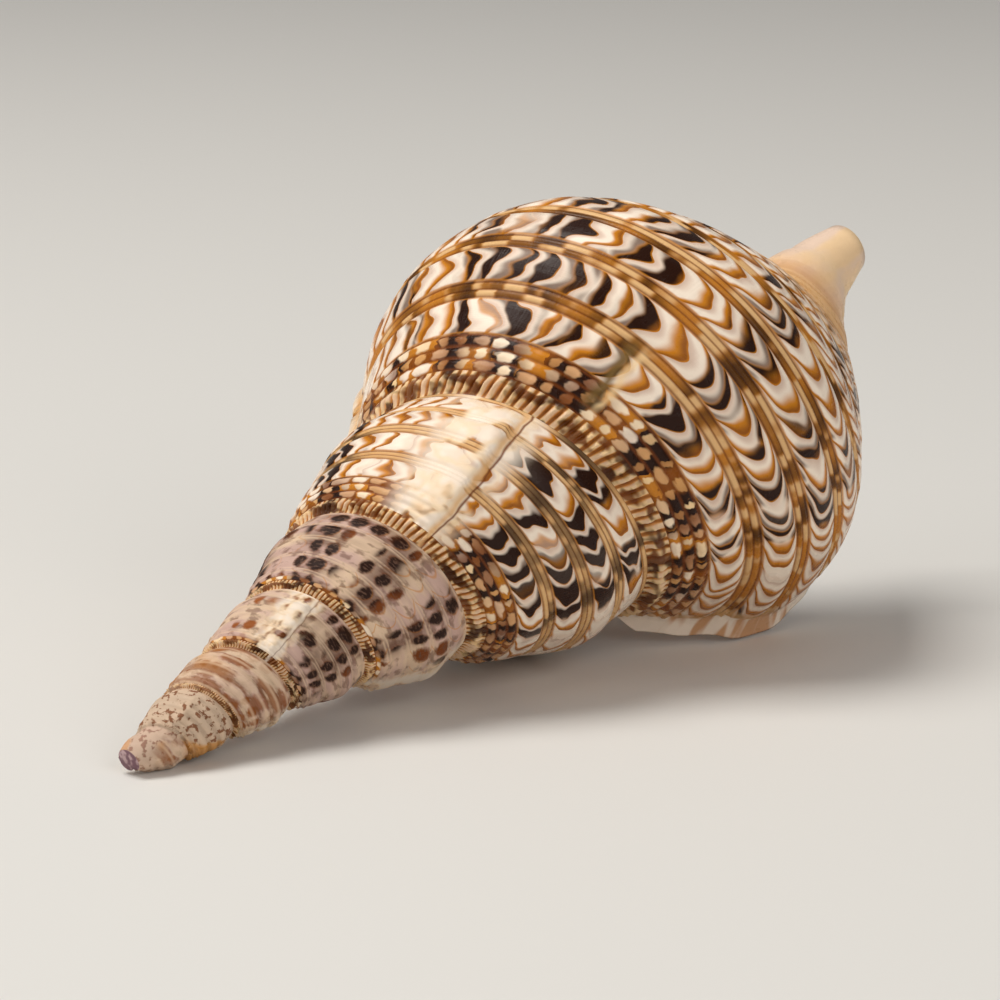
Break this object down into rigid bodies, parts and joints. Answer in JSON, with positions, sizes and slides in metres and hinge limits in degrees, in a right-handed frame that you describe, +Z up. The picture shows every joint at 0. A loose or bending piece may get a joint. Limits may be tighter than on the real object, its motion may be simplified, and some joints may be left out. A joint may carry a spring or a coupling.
{
  "type": "triton sea shell",
  "caption": "Large spiral sea shell with a tall spire, a swollen body whorl, a flared lip and a short open canal, lying on its opening.",
  "frame": {"origin": "middle of the shell's box, on the surface that it lies on", "axes": "+Z up, +X along the shell from the broken tip to the end of the canal, the lip at -Y"},
  "size_m": [0.2893, 0.1389, 0.1334],
  "materials": {
    "shell": "glossy shell in cream and pink white with rows of dark brown crescents, worn and chalky towards the tip"
  },
  "bodies": {
    "root": {"shell": "shell"}
  },
  "joints": []
}
